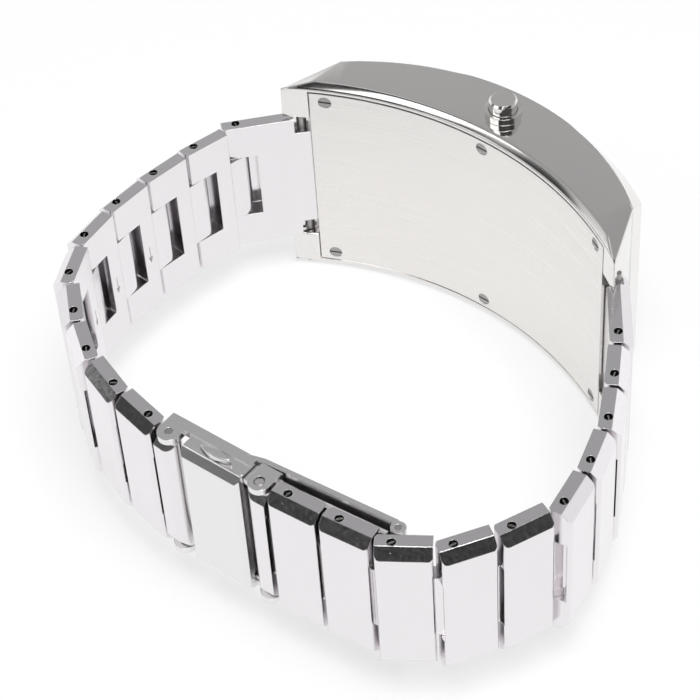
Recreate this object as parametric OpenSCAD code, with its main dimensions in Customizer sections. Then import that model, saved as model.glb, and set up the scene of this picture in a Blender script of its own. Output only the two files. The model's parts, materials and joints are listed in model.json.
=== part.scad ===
// A steel LED wristwatch lying on its side, as it does with its bracelet closed.
// X runs along the case from twelve (-X) to six (+X), Y from the dial into the bracelet's loop,
// and Z along every bracelet pin. The origin is the middle of the side wall that it rests on.
// In each link's own frame x runs to the next pin, +y is the side towards the wrist.

/* [Case] */
// Width over the side walls at the middle of the case
case_width = 37; // [36:0.5:40]
// Width over the horn tips, where the side walls taper in
case_end_width = 34.6; // [34.2:0.2:35.4]
// Radius of the back, curved to the wrist
back_radius = 55; // [52:1:62]
// Radius of the front edge of the side walls
front_radius = 41; // [39:0.5:44]
// Height of the side wall at the middle
wall_height = 10.2; // [9.8:0.2:12]
// Where the end faces meet the front edge, from the middle
shoulder_reach = 27; // [26.5:0.5:28]
// Reach of the horns past the back plate, along the back
horn_reach = 4.4; // [4.2:0.2:5]
// Polished bevel between the side walls and the back
back_bevel = 0.9; // [0.5:0.1:1.2]
// Half length of the hollow for the module
hollow_reach = 22.3; // [21.8:0.1:22.6]
// Half width of the hollow for the module
hollow_half_width = 12.8; // [12.6:0.1:13]

/* [Front] */
// Height of the bezel above the side walls
bezel_rise = 2.8; // [2.6:0.1:3.4]
// Half width of the bezel's top
bezel_top_half_width = 14.6; // [14.2:0.2:15.4]
// Thickness of the curved glass
glass_thickness = 1.6; // [1.2:0.1:1.8]
// Half width of the glass
glass_half_width = 13; // [12.4:0.2:13.4]
// Half length of the glass, along its curve
glass_half_length = 25.4; // [24.6:0.2:26]
// Width of the bezel's ledge under the glass
glass_ledge = 1.6; // [1.2:0.1:2]
// Thickness of the glass gasket
glass_gasket_thickness = 0.3; // [0.2:0.05:0.4]

/* [Back plate] */
// Length of the back plate along the curve
plate_length = 57; // [56:0.5:59]
// Width of the back plate
plate_width = 33.6; // [33.2:0.2:34]
// Thickness of the back plate
plate_thickness = 1.2; // [1:0.1:1.5]
// Gap round the back plate
plate_gap = 0.12; // [0.08:0.02:0.2]
// Radius of the back plate screws
screw_radius = 0.5; // [0.4:0.05:0.6]
// Radius of their heads
screw_head_radius = 0.95; // [0.8:0.05:1.1]
// Length of the screws past the plate
screw_length = 1.7; // [1.5:0.1:1.8]
// Distance of the corner screws from the ends of the plate, along the curve
screw_end_inset = 2.4; // [2:0.1:3]
// Distance of the screws from the plate's long edges
screw_side_inset = 1.5; // [1.3:0.1:1.7]
// Thickness of the back gasket
back_gasket_thickness = 0.5; // [0.4:0.05:0.7]

/* [Bracelet] */
// Distance between the pins of a link
link_pitch = 8; // [7.6:0.1:8.6]
// Distance between the pins of the end links
end_link_pitch = 10; // [9.4:0.2:11]
// Distance between the pins of the half links beside the clasp
half_link_pitch = 4.4; // [4.4:0.1:5]
// Width of the bracelet
bracelet_width = 23.4; // [22.6:0.2:23.8]
// Thickness of the links
link_thickness = 3.3; // [3.1:0.1:3.6]
// Bevel along the outer edges of the links
link_bevel = 1.4; // [0.8:0.1:1.6]
// Width of the fork's slot
fork_width = 11.7; // [10.6:0.1:12.4]
// Play of a tongue in its fork
tongue_play = 0.2; // [0.1:0.05:0.3]
// Skin that closes the fork on the outer side
fork_skin = 0.5; // [0.4:0.05:0.55]
// Opening left in the fork past the tongue
slot_length = 1.2; // [1:0.1:1.6]
// Reach of the link past its far pin
fork_reach = 2.2; // [2:0.05:2.3]
// Start of the next link's body past the pin
body_start = 2.7; // [2.65:0.05:3]
// Radius of the link pins
pin_radius = 0.6; // [0.5:0.05:0.7]
// Radius of the pins' heads
pin_head_radius = 0.85; // [0.75:0.05:0.95]
// Running clearance of a pin in the tongue that turns on it
pin_play = 0.05; // [0.03:0.01:0.09]
// Bend of each joint on the six side as the watch lies closed, from the case out
six_bends = [20, 28, 6, 6, 8, 20, 21, 8, 15, 8, 7];
// Bend of each joint on the twelve side
twelve_bends = [20, 6, 2, 11, 8, 32, 9, 24, 28, 2, 3];

/* [Spring bars] */
// Radius of the spring bars at the case
bar_radius = 0.75; // [0.65:0.05:0.85]
// Radius of their tips
bar_tip_radius = 0.45; // [0.4:0.05:0.5]
// Depth of the tips in the horns
bar_tip_depth = 1.2; // [0.8:0.1:1.6]
// Play of the end link between the horns, each side
lug_play = 0.2; // [0.1:0.05:0.3]
// Furthest that the end link can swing out towards the dial
lug_swing = 32; // [28:1:34]

/* [Clasp] */
// Distance between the clasp's two half link pins
clasp_span = 15.4; // [15:0.1:16.4]
// Thickness of the clasp's blades
blade_thickness = 0.75; // [0.65:0.05:0.8]
// Gap between the clasp's knuckle and the links that it folds under
knuckle_gap = 0.3; // [0.25:0.05:0.5]
// Radius of the knuckle's barrels
knuckle_radius = 1.05; // [1:0.05:1.15]
// Radius of the knuckle pin
knuckle_pin_radius = 0.5; // [0.4:0.05:0.55]
// Length of the middle barrel
middle_barrel = 8; // [6:0.5:9]
// Radius of the ears round the half link pins
ear_radius = 1.65; // [1.55:0.05:1.7]
// Thickness of the ears
ear_thickness = 1; // [0.8:0.05:1.05]
// Length of the clasp's cover
cover_length = 9.9; // [9.4:0.1:10.2]
// Wall of the clasp's cover
cover_wall = 0.9; // [0.7:0.05:1]
// Length of a clasp button
button_length = 5.2; // [4.6:0.2:5.6]
// Height of a clasp button across its lens shape
button_height = 1.4; // [1.2:0.1:1.5]
// Travel of a clasp button
button_travel = 0.8; // [0.6:0.1:0.9]
// Clearance of the arm's ears round their pin, which lets the fold stay closed
open_pivot_play = 0.2; // [0.18:0.02:0.3]

/* [Pusher] */
// Radius of the pusher's cap
cap_radius = 2.1; // [1.9:0.05:2.3]
// Height of the pusher's cap
cap_height = 2.3; // [2:0.1:2.6]
// Travel of the pusher
pusher_travel = 0.8; // [0.6:0.1:0.8]
// Radius of its stem
stem_radius = 1; // [0.9:0.05:1.1]
// Wall of the collar round the cap
collar_wall = 0.5; // [0.4:0.05:0.6]
// Height of the collar
collar_height = 1.1; // [0.9:0.1:1.2]

/* [Module] */
// Rows of light-emitting diodes across the dial
led_rows = 5; // [5:1:7]
// Columns of light-emitting diodes along the dial
led_columns = 12; // [10:1:13]
// Distance between diodes
led_pitch = 2.9; // [2.8:0.05:2.95]
// Size of a diode
led_size = 1.1; // [0.8:0.1:1.3]
// Radius of the button cells
cell_radius = 8; // [7.5:0.1:8.2]
// Thickness of the button cells
cell_thickness = 1.6; // [1.2:0.1:1.6]

/* [Hidden] */
$fn = 64;

// directions and places in the case's own plane
back_centre = [0, back_radius];
front_centre = [0, front_radius - wall_height];
plate_angle = plate_length / 2 / back_radius * 180 / PI;
horn_angle = plate_angle + horn_reach / back_radius * 180 / PI;
horn_tip = [back_radius * sin(horn_angle), back_radius - back_radius * cos(horn_angle)];
shoulder = [shoulder_reach, front_centre.y - sqrt(pow(front_radius, 2) - pow(shoulder_reach, 2))];
end_slope = (shoulder - horn_tip) / norm(shoulder - horn_tip);
end_foot = horn_tip + 30 * end_slope;
taper_start = shoulder_reach;
half_width = case_width / 2;

// the end links' spring bars stand between the horns
lug_gap = bracelet_width + 2 * lug_play;
lug_back = link_thickness / 2;
lug_inset = link_thickness / 2 + 0.2;
lug_angle = plate_angle + lug_inset / back_radius * 180 / PI;
lug_point = [(back_radius + lug_back) * sin(lug_angle), back_radius - (back_radius + lug_back) * cos(lug_angle)];

// the bracelet's two halves, each a chain of pins out from the case
steps = concat([end_link_pitch], [for (i = [1:9]) link_pitch], [half_link_pitch]);
function heading(bends, swing, n) = n == 0 ? lug_angle + swing + bends[0] : heading(bends, swing, n - 1) + bends[n];
function pin_at(bends, swing, n) =
  n == 0 ? lug_point
  : let (h = heading(bends, swing, n - 1)) pin_at(bends, swing, n - 1) + steps[n - 1] * [cos(h), sin(h)];
// both halves swing in together until their last pins stand one clasp apart
function pins_apart(swing) = pin_at(six_bends, swing, 11).x + pin_at(twelve_bends, swing, 11).x;
function closing_swing(low, high, n) =
  n == 0 ? (low + high) / 2
  : let (middle = (low + high) / 2)
    pins_apart(middle) > clasp_span ? closing_swing(middle, high, n - 1) : closing_swing(low, middle, n - 1);
swing = closing_swing(-30, 30, 24);
first_pin = pin_at(six_bends, swing, 11);
last_pin_mirrored = pin_at(twelve_bends, swing, 11);
last_pin = [-last_pin_mirrored.x, last_pin_mirrored.y];
clasp_turn = atan2(last_pin.y - first_pin.y, last_pin.x - first_pin.x);
pins_span = norm(last_pin - first_pin);

// clasp layers, counted from the plane of the pins towards the wrist
half_link_width = bracelet_width - 2 * ear_thickness - 0.2;
base_top = link_thickness / 2 + 0.5;
base_thickness = blade_thickness + 0.05;
rim_top = link_thickness / 2 - 0.35;
rim_width = ear_thickness + 0.05;
cover_start = 2.95;
cover_end = cover_start + cover_length;
cover_outer = link_thickness / 2 + 0.1;
cover_half_width = bracelet_width / 2 - 0.2;
arm_top = link_thickness / 2 + 0.3;
base_end = cover_end - 1.4;
// the knuckle sits inside the bend at the third pin past the clasp
corner_turn = (heading(twelve_bends, swing, 7) + heading(twelve_bends, swing, 8)) / 2 + 90;
knuckle_stand = (link_thickness / 2 + knuckle_gap + knuckle_radius) / cos(twelve_bends[8] / 2);
knuckle_mirrored = pin_at(twelve_bends, swing, 8) + knuckle_stand * [cos(corner_turn), sin(corner_turn)];
knuckle_place = [-knuckle_mirrored.x, knuckle_mirrored.y] - first_pin;
knuckle = [
  knuckle_place.x * cos(clasp_turn) + knuckle_place.y * sin(clasp_turn),
  knuckle_place.y * cos(clasp_turn) - knuckle_place.x * sin(clasp_turn)
];
button_middle = cover_start + cover_length / 2;
button_line = 0.2;
foot_thickness = 1;
finger_thickness = 0.5;
catch_gap = 0.12;
foot_outer = cover_half_width - cover_wall - 0.1;
post_half_length = 5;
catch_inner = foot_outer - foot_thickness + finger_thickness + 0.15;

// pusher
wall_z = half_width;
pusher_line = -wall_height / 2;
cup_radius = cap_radius + 0.08;
cup_floor = wall_z - 0.3;
cap_foot = cup_floor + pusher_travel + 0.1;
collar_foot = cup_floor - 0.6;
tube_radius = cup_radius - 0.25;
// the stem ends just clear of the module's hollow, however wide the case is
stem_end = hollow_half_width + 0.9;
tube_end = stem_end + 1;
clip_thickness = 0.3;
seal_radius = stem_radius + 0.05;
spring_wire = 0.22;

// module stack, as radii from the front's centre
bezel_top_radius = front_radius + bezel_rise;
glass_outer = bezel_top_radius - 0.1;
glass_inner = glass_outer - glass_thickness;
glass_angle = glass_half_length / bezel_top_radius * 180 / PI;
ledge_radius = glass_inner - glass_gasket_thickness;
window_half_width = glass_half_width - glass_ledge;
window_angle = glass_angle - glass_ledge / bezel_top_radius * 180 / PI;
mask_outer = front_radius - 0.15;
mask_thickness = 0.3;
board_outer = mask_outer - mask_thickness - 0.65;
board_thickness = 0.5;
module_gap = 0.15;
holder_wall = 0.9;
step_wall = 1.7;
board_line = -5.2;
circuit_thickness = 0.8;
cell_line = board_line + circuit_thickness + 1.5;
cell_centre = hollow_reach - step_wall - module_gap - cell_radius - 0.5;
plate_inner = back_radius + plate_thickness;

// the case's lower side wall lies on Z = 0, with the origin at its middle
module stand() translate([0, wall_height / 2, half_width]) children();

// a slab as deep as given, centred on the middle plane
module slab(depth) linear_extrude(depth, center = true) children();

// part of a ring round a centre, symmetric about the dial's direction
module curved_bar(centre, inner, outer, half_angle, half_depth)
  translate(centre) rotate([0, 0, 270 - half_angle])
    rotate_extrude(angle = 2 * half_angle, $fn = 96)
      translate([inner, -half_depth]) square([outer - inner, 2 * half_depth]);

// outline of the case seen along the pins
module case_side() {
  difference() {
    intersection() {
      translate(front_centre) circle(front_radius, $fn = 180);
      polygon([horn_tip, end_foot, [-end_foot.x, end_foot.y], [-horn_tip.x, horn_tip.y]]);
    }
    translate(back_centre) circle(back_radius, $fn = 180);
  }
}

// outline of the case seen from the dial: straight sides that taper at the horns
module case_plan() {
  tip = [horn_tip.x, case_end_width / 2];
  slope = (case_width - case_end_width) / 2 / (horn_tip.x - taper_start);
  far = [horn_tip.x + 2, case_end_width / 2 - 2 * slope];
  polygon([
    [taper_start, half_width], [tip.x, tip.y], far, [far.x, -far.y], [tip.x, -tip.y],
    [taper_start, -half_width], [-taper_start, -half_width], [-tip.x, -tip.y],
    [-far.x, -far.y], [-far.x, far.y], [-tip.x, tip.y], [-taper_start, half_width]
  ]);
}

// room for the end link, which also swings out towards the dial
module lug_pocket() {
  clearance = link_thickness / 2 + 0.2;
  out = lug_angle - lug_swing;
  edge = lug_point + clearance * [sin(out), -cos(out)];
  slab(lug_gap) {
    translate(lug_point) circle(clearance);
    polygon([
      edge,
      edge + 16 * [cos(out), sin(out)],
      lug_point + 20 * [cos(lug_angle), sin(lug_angle)],
      lug_point + [20 * cos(lug_angle) - 6 * sin(lug_angle), 20 * sin(lug_angle) + 6 * cos(lug_angle)],
      lug_point + [-clearance * cos(lug_angle) - 6 * sin(lug_angle), -clearance * sin(lug_angle) + 6 * cos(lug_angle)],
      lug_point - clearance * [cos(lug_angle), sin(lug_angle)]
    ]);
  }
}

// seats for whatever stands at each screw: places its children at the six screws
module at_screws() {
  corner = plate_angle - screw_end_inset / back_radius * 180 / PI;
  for (turn = [-corner, 0, corner])
    for (side = [-1, 1])
      translate(back_centre) rotate([0, 0, turn]) translate([0, -back_radius, side * (plate_width / 2 - screw_side_inset)])
        rotate([90, 0, 0]) children();
}

module case_middle() {
  color("silver") stand() difference() {
    intersection() {
      slab(case_width + 1) case_side();
      rotate([90, 0, 0]) slab(80) case_plan();
    }
    // polished bevels along the back
    for (side = [-1, 1])
      translate([back_centre.x, back_centre.y, side * half_width]) rotate([0, 0, 270 - horn_angle])
        rotate_extrude(angle = 2 * horn_angle, $fn = 96)
          polygon([
            [back_radius - 1, side], [back_radius - 1, -side * (back_bevel + 1)],
            [back_radius + back_bevel, 0], [back_radius + back_bevel, side]
          ]);
    // hollow for the module, the plate's recess and the gasket's groove
    slab(2 * hollow_half_width) translate([-hollow_reach, -20]) square([2 * hollow_reach, 40]);
    curved_bar(
      back_centre, back_radius - 1, plate_inner,
      plate_angle + plate_gap / back_radius * 180 / PI, plate_width / 2 + plate_gap
    );
    curved_bar(back_centre, plate_inner - 0.1, plate_inner + back_gasket_thickness, gasket_outer_angle, gasket_half_width);
    at_screws() translate([0, 0, plate_thickness - 0.1]) cylinder(h = screw_length + 0.1, r = screw_radius + 0.02);
    for (side = [0, 1]) mirror([side, 0, 0]) {
      lug_pocket();
      translate(lug_point) cylinder(h = lug_gap + 2 * bar_tip_depth + 0.2, r = bar_tip_radius + 0.05, center = true);
    }
    // the pusher's tube, and room for the clip at its stem's end
    translate([0, pusher_line, tube_end]) cylinder(h = 12, r = tube_radius + 0.02);
    translate([0, pusher_line, collar_foot]) cylinder(h = 12, r = cup_radius + collar_wall + 0.02);
    translate([0, pusher_line, hollow_half_width - 1]) cylinder(h = 12, r = stem_radius + 0.75);
  }
}

gasket_outer_angle = asin((hollow_reach + 1.7) / plate_inner);
gasket_inner_angle = asin((hollow_reach + 0.5) / plate_inner);
gasket_half_width = hollow_half_width + 1.3;

module back_gasket() {
  color("black") stand() difference() {
    curved_bar(
      back_centre, plate_inner + 0.02, plate_inner + back_gasket_thickness - 0.02,
      gasket_outer_angle - 0.05, gasket_half_width - 0.05
    );
    curved_bar(back_centre, plate_inner - 1, plate_inner + 2, gasket_inner_angle, hollow_half_width + 0.3);
  }
}

module back_plate() {
  color("gainsboro") stand() difference() {
    curved_bar(back_centre, back_radius, plate_inner - 0.01, plate_angle, plate_width / 2);
    at_screws() {
      translate([0, 0, -1]) cylinder(h = plate_thickness + 2, r = screw_radius + 0.1);
      translate([0, 0, -1]) cylinder(h = 1.55, r = screw_head_radius + 0.05);
    }
  }
}

module back_plate_screws() {
  color("dimgray") stand() at_screws() difference() {
    union() {
      translate([0, 0, 0.03]) cylinder(h = 0.52, r = screw_head_radius);
      translate([0, 0, 0.3]) cylinder(h = plate_thickness + screw_length - 0.5, r = screw_radius);
    }
    translate([0, 0, 0]) cube([3, 0.28, 0.5], center = true);
  }
}

module bezel() {
  color("whitesmoke") stand() difference() {
    intersection() {
      translate(front_centre) rotate([0, 0, 225]) rotate_extrude(angle = 90, $fn = 96)
        polygon([
          [front_radius + 0.01, -half_width + 0.15], [bezel_top_radius, -bezel_top_half_width],
          [bezel_top_radius, bezel_top_half_width], [front_radius + 0.01, half_width - 0.15]
        ]);
      slab(case_width) polygon([horn_tip, end_foot, [-end_foot.x, end_foot.y], [-horn_tip.x, horn_tip.y]]);
    }
    curved_bar(front_centre, front_radius - 1, bezel_top_radius + 1, window_angle, window_half_width);
    curved_bar(
      front_centre, ledge_radius, bezel_top_radius + 1,
      glass_angle + 0.1, glass_half_width + 0.08
    );
    for (side = [0, 1]) mirror([side, 0, 0]) lug_pocket();
  }
}

module crystal_gasket() {
  color("black") stand() difference() {
    curved_bar(front_centre, ledge_radius + 0.02, glass_inner - 0.02, glass_angle, glass_half_width);
    curved_bar(front_centre, front_radius - 1, bezel_top_radius + 1, window_angle + 0.2, window_half_width + 0.2);
  }
}

module crystal() {
  color([0.05, 0.02, 0.03, 0.85]) stand()
    curved_bar(front_centre, glass_inner, glass_outer, glass_angle, glass_half_width);
}

// the holder fills the hollow round the parts and follows the front's curve
module holder_outline(reach)
  difference() {
    intersection() {
      translate(front_centre) circle(mask_outer - mask_thickness - 0.02, $fn = 180);
      translate([-reach, -20]) square([2 * reach, 40]);
    }
    translate(back_centre) circle(plate_inner + 0.05, $fn = 180);
  }

module module_holder() {
  reach = hollow_reach - module_gap;
  depth = hollow_half_width - module_gap;
  color("darkslategray") stand() difference() {
    slab(2 * depth) holder_outline(reach);
    // the front room for the diode board, above the step that carries it
    slab(2 * (depth - holder_wall)) difference() {
      translate([-reach + holder_wall, -20]) square([2 * (reach - holder_wall), 40]);
      translate(front_centre) circle(board_outer - board_thickness - 0.01, $fn = 180);
    }
    // the rear room for the circuit board and the cells
    slab(2 * (depth - step_wall)) translate([-reach + step_wall, board_line]) square([2 * (reach - step_wall), 40]);
    // openings through the web between the two rooms
    slab(2 * (depth - step_wall) - 6) for (x = [-9.4, 0, 9.4]) translate([x - 3.7, -20]) square([7.4, 40]);
    translate([-3.6, pusher_line - 2.2, stem_end - 6]) cube([7.2, 4.4, 20]);
  }
}

module display_mask() {
  color("black") stand() difference() {
    curved_bar(
      front_centre, mask_outer - mask_thickness, mask_outer,
      asin((hollow_reach - module_gap) / front_radius), hollow_half_width - module_gap
    );
    at_leds() cube([led_size + 0.1, 4, led_size + 0.1], center = true);
  }
}

module at_leds()
  for (column = [0:led_columns - 1])
    for (row = [0:led_rows - 1])
      translate(front_centre) rotate([0, 0, (column - (led_columns - 1) / 2) * led_pitch / front_radius * 180 / PI])
        translate([0, -board_outer - 0.28, (row - (led_rows - 1) / 2) * led_pitch * 1.1]) children();

module led_board() {
  color("darkgreen") stand() curved_bar(
    front_centre, board_outer - board_thickness, board_outer,
    asin((hollow_reach - module_gap - holder_wall - 0.1) / front_radius), hollow_half_width - module_gap - holder_wall - 0.1
  );
}

module led_array() {
  color("orangered") stand() at_leds() cube([led_size, 0.5, led_size], center = true);
}

module circuit_board() {
  room = sqrt(pow(board_outer - board_thickness, 2) - pow(front_centre.y - board_line, 2)) - 0.5;
  depth = hollow_half_width - module_gap - step_wall - 0.1;
  color("green") stand() difference() {
    translate([-room, board_line + 0.02, -depth]) cube([2 * room, circuit_thickness, 2 * depth]);
    translate([-2.61, pusher_line - 3, stem_end - 4.61]) cube([5.22, 6, 20]);
  }
}

module driver_chip() {
  color("black") stand() translate([0, board_line + circuit_thickness + 0.55, 0]) cube([3.2, 1, 6], center = true);
}

module clock_crystal() {
  color("lightsteelblue") stand() translate([0, board_line + circuit_thickness + 0.8, -8.6])
    rotate([0, 90, 0]) cylinder(h = 5.6, r = 0.75, center = true);
}

module batteries() {
  color("lightgray") stand() for (side = [-1, 1])
    translate([side * cell_centre, cell_line, 0]) rotate([-90, 0, 0]) {
      cylinder(h = cell_thickness - 0.3, r = cell_radius);
      translate([0, 0, cell_thickness - 0.31]) cylinder(h = 0.31, r = cell_radius - 0.9);
    }
}

// sprung strips that stand on the board and press on the cells
module battery_contacts() {
  foot = board_line + circuit_thickness + 0.03;
  color("gold") stand() for (side = [-1, 1]) translate([side * cell_centre, 0, 0]) {
    translate([-1.5, foot, -5]) cube([3, 0.2, 10]);
    for (end = [-1, 1]) translate([-1.5, foot, end * 4.8 - 0.2]) cube([3, cell_line - foot - 0.03, 0.4]);
  }
}

module push_switch() {
  color("black") stand() {
    translate([-2.6, pusher_line - 1.6, stem_end - 4.6]) cube([5.2, 3.2, 3]);
    translate([0, pusher_line, stem_end - 1.7]) cylinder(h = 0.7, r = 0.8);
  }
}

module lug_spring_bars() {
  color("darkgray") stand() for (side = [0, 1]) mirror([side, 0, 0]) translate(lug_point) {
    cylinder(h = lug_gap - 0.3, r = bar_radius, center = true);
    cylinder(h = lug_gap + 2 * bar_tip_depth, r = bar_tip_radius, center = true);
  }
}

module pusher_tube() {
  color("silver") stand() translate([0, pusher_line, 0]) difference() {
    union() {
      translate([0, 0, tube_end]) cylinder(h = wall_z - tube_end, r = tube_radius);
      translate([0, 0, collar_foot]) cylinder(h = wall_z + collar_height - collar_foot, r = cup_radius + collar_wall);
    }
    translate([0, 0, tube_end - 1]) cylinder(h = 10, r = stem_radius + pin_play);
    translate([0, 0, cup_floor]) cylinder(h = 10, r = cup_radius);
  }
}

module pusher() {
  color("silver") stand() translate([0, pusher_line, 0]) difference() {
    union() {
      translate([0, 0, cap_foot]) cylinder(h = cap_height - 0.3, r = cap_radius);
      translate([0, 0, cap_foot + cap_height - 0.3]) cylinder(h = 0.3, r1 = cap_radius, r2 = cap_radius - 0.3);
      translate([0, 0, stem_end]) cylinder(h = cap_foot - stem_end + 0.1, r = stem_radius);
    }
    // room for the spring round the stem
    translate([0, 0, cap_foot - 0.1]) difference() {
      cylinder(h = 1.2, r = cap_radius - 0.35);
      cylinder(h = 2, r = stem_radius);
    }
    // grooves for the seal and the clip
    for (groove = [[wall_z - 2, 0.5], [tube_end - 0.45, clip_thickness + 0.04]])
      translate([0, 0, groove[0]]) difference() {
        cylinder(h = groove[1], r = stem_radius + 1);
        cylinder(h = groove[1], r = stem_radius - 0.3);
      }
  }
}

// a coil of a given wire whose ends are ground flat
module coil(height, radius, wire, turns)
  linear_extrude(height, twist = -360 * turns, slices = turns * 12, $fn = 8)
    translate([radius, 0]) circle(wire, $fn = 8);

module pusher_spring() {
  color("gray") stand() translate([0, pusher_line, cup_floor + 0.02])
    coil(cap_foot + 1.06 - cup_floor, (stem_radius + cap_radius - 0.35) / 2, spring_wire, 3);
}

module pusher_seal() {
  color("black") stand() translate([0, pusher_line, wall_z - 1.98]) difference() {
    cylinder(h = 0.46, r = stem_radius + pin_play - 0.01);
    translate([0, 0, -1]) cylinder(h = 3, r = stem_radius - 0.29);
  }
}

module pusher_clip() {
  color("dimgray") stand() translate([0, pusher_line, tube_end - 0.43]) difference() {
    cylinder(h = clip_thickness, r = stem_radius + 0.6);
    translate([0, 0, -1]) cylinder(h = 3, r = stem_radius - 0.28);
    translate([0, -0.55, -1]) cube([3, 1.1, 3]);
  }
}

// the bevelled cross section of a link, as long as given
module link_section(length, width, bevel)
  rotate([90, 0, 90]) linear_extrude(length)
    polygon([
      [link_thickness / 2, -width / 2], [link_thickness / 2, width / 2],
      [bevel - link_thickness / 2, width / 2], [-link_thickness / 2, width / 2 - bevel],
      [-link_thickness / 2, bevel - width / 2], [bevel - link_thickness / 2, -width / 2]
    ]);

// plan of a link's body from its start to the rounded end past its far pin
module body_outline(start, pitch, reach, round_radius)
  intersection() {
    translate([start, -link_thickness / 2]) square([pitch + reach - start, link_thickness]);
    union() {
      translate([start - 1, -link_thickness / 2]) square([pitch - start + 1, link_thickness]);
      translate([pitch, 0]) circle(round_radius);
    }
  }

// a tongue turns under its neighbour's skin, and is nearly flush on the wrist side
tongue_radius = link_thickness / 2 - fork_skin - 0.1;
tongue_crown = link_thickness / 2 - 0.15;
module tongue_outline() {
  circle(tongue_radius);
  intersection() {
    circle(tongue_crown);
    translate([-3, 0]) square(3 + 0.01);
  }
  translate([0, 0.4 - tongue_radius]) square([body_start + 0.3, tongue_crown + tongue_radius - 0.4]);
}

// the pin and its head, standing in the fork's arms
module link_pin(pitch, width) {
  translate([pitch, 0, -width / 2 + 0.1]) cylinder(h = width - 0.5, r = pin_radius);
  translate([pitch, 0, width / 2 - 0.65]) cylinder(h = 0.5, r = pin_head_radius);
}

module fork_cuts(pitch, width) {
  slot_start = pitch - tongue_crown - slot_length;
  translate([slot_start, fork_skin - link_thickness / 2, -fork_width / 2])
    cube([20, 2 * link_thickness, fork_width]);
  translate([pitch, 0, -width]) cylinder(h = 2 * width, r = pin_radius + 0.02);
  translate([pitch, 0, width / 2 - 0.7]) cylinder(h = 2, r = pin_head_radius + 0.05);
}

round_end = fork_reach + 0.25;

module plain_link() {
  color("lightgray") {
    difference() {
      union() {
        intersection() {
          link_section(link_pitch + 10, bracelet_width, link_bevel);
          slab(bracelet_width) body_outline(body_start, link_pitch, fork_reach, round_end);
        }
        slab(fork_width - tongue_play) tongue_outline();
      }
      cylinder(h = fork_width + 1, r = pin_radius + pin_play, center = true);
      fork_cuts(link_pitch, bracelet_width);
    }
    link_pin(link_pitch, bracelet_width);
  }
}

module end_link(turn) {
  heel = link_thickness / 2;
  color("lightgray") {
    difference() {
      intersection() {
        translate([-2 * heel, 0, 0]) link_section(end_link_pitch + 10, bracelet_width, link_bevel);
        slab(bracelet_width) {
          body_outline(0, end_link_pitch, fork_reach, round_end);
          circle(heel);
          rotate([0, 0, -turn]) translate([-heel, 0]) square([heel, heel]);
        }
      }
      cylinder(h = 2 * bracelet_width, r = bar_radius + pin_play, center = true);
      fork_cuts(end_link_pitch, bracelet_width);
      // notches that let a tool reach the spring bar
      for (side = [-1, 1])
        translate([-1.6, 0.35, side * (bracelet_width / 2 - 1.3) - 1.4]) cube([2.9, 3, 2.8]);
    }
    link_pin(end_link_pitch, bracelet_width);
  }
}

module half_link(own_pin) {
  reach = link_thickness / 2;
  color("lightgray") {
    difference() {
      union() {
        intersection() {
          link_section(half_link_pitch + 10, half_link_width, link_bevel);
          slab(half_link_width) body_outline(body_start, half_link_pitch, reach, reach);
        }
        slab(fork_width - tongue_play) tongue_outline();
      }
      cylinder(h = fork_width + 1, r = pin_radius + pin_play, center = true);
      translate([half_link_pitch, 0, 0])
        cylinder(h = 2 * bracelet_width, r = pin_radius + (own_pin ? 0.02 : pin_play), center = true);
    }
    if (own_pin) translate([half_link_pitch, 0, 0]) cylinder(h = bracelet_width - 0.3, r = pin_radius, center = true);
  }
}

// places a link of either half: n counts from the case
module on_chain(side, bends, n) {
  p = pin_at(bends, swing, n - 1);
  stand() mirror([side, 0, 0]) translate(p) rotate([0, 0, heading(bends, swing, n - 1)]) children();
}

module six_link(n) on_chain(0, six_bends, n)
  if (n == 1) end_link(six_bends[0] + swing); else plain_link();
module twelve_link(n) on_chain(1, twelve_bends, n)
  if (n == 1) end_link(twelve_bends[0] + swing); else plain_link();

// the clasp's own frame: x runs from its first pin to the last, +y is towards the wrist
module on_clasp() stand() translate(first_pin) rotate([0, 0, clasp_turn]) children();

// a thin strip between two points of the clasp's plane
module strip(from, to, thickness) {
  across = (to - from) / norm(to - from);
  side = [-across.y, across.x] * thickness / 2;
  polygon([from + side, to + side, to - side, from - side]);
}

module ear(middle)
  translate([0, 0, middle]) slab(ear_thickness) difference() {
    union() {
      circle(ear_radius);
      translate([-ear_radius, 0]) square([2 * ear_radius + 1.5, base_top + base_thickness]);
    }
    translate([ear_radius, -0.01]) square([3, rim_top + 0.01]);
  }

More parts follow.
